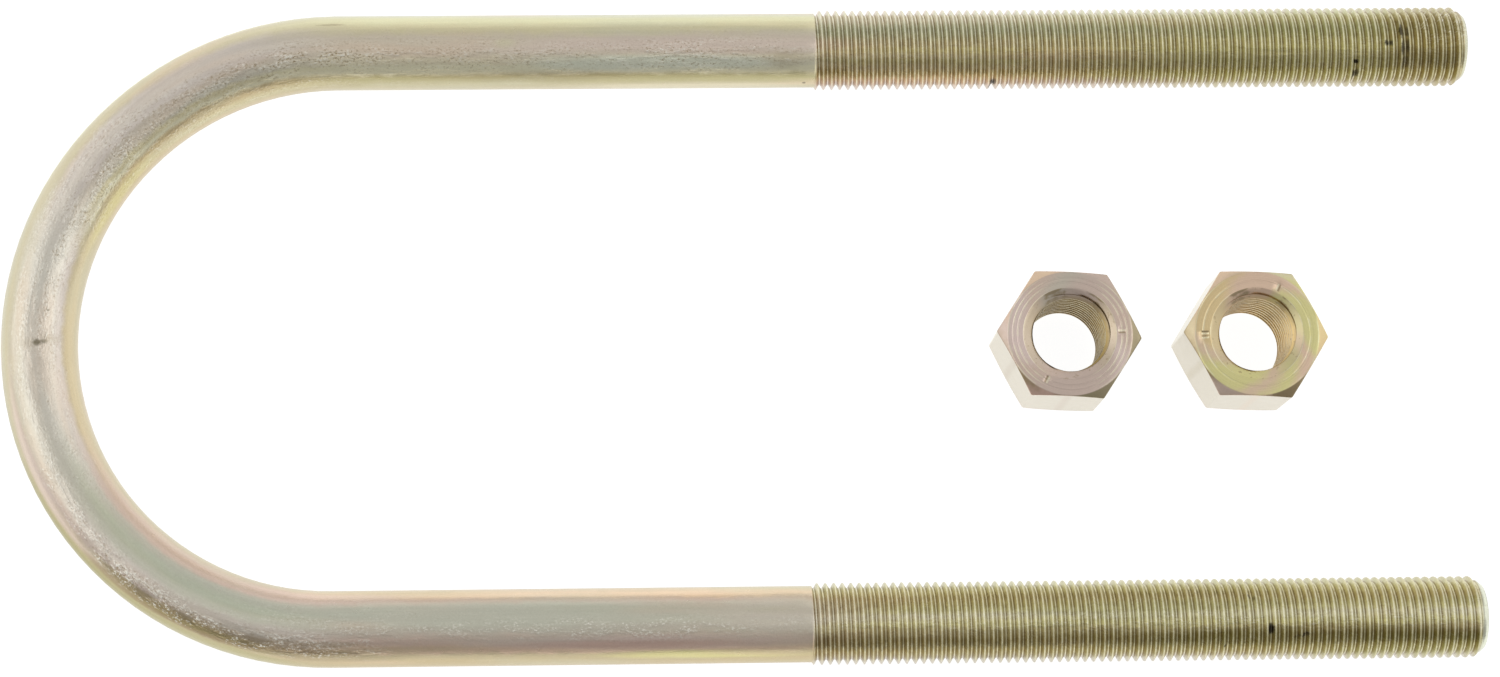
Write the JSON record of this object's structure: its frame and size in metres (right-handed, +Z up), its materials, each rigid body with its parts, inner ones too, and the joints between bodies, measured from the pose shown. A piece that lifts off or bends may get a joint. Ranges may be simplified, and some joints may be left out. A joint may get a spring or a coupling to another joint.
{
  "type": "threaded u-bolt",
  "caption": "U-shaped round steel rod with long metric threads on both legs, and its tall hexagon nuts laid loose between the legs; clamps a tube, bar or axle to a plate.",
  "frame": {"origin": "on the surface that the rod lies on, under the middle of the whole bolt", "axes": "+X along the legs from the bend towards the threaded tips, +Y from the shorter leg towards the longer one, +Z up from the surface"},
  "size_m": [0.2203, 0.0992, 0.0135],
  "materials": {
    "rod_zinc": "yellow passivated zinc on cold drawn steel, pale yellow-green with grey-pink bands, worn and speckled",
    "left_nut_zinc": "yellow passivated zinc, turned end faces with a pinkish grey cast",
    "right_nut_zinc": "yellow passivated zinc, turned end faces, gold with green and pink patches"
  },
  "bodies": {
    "root": {"u_bolt": "rod_zinc", "left_nut": "left_nut_zinc", "right_nut": "right_nut_zinc"}
  },
  "joints": []
}
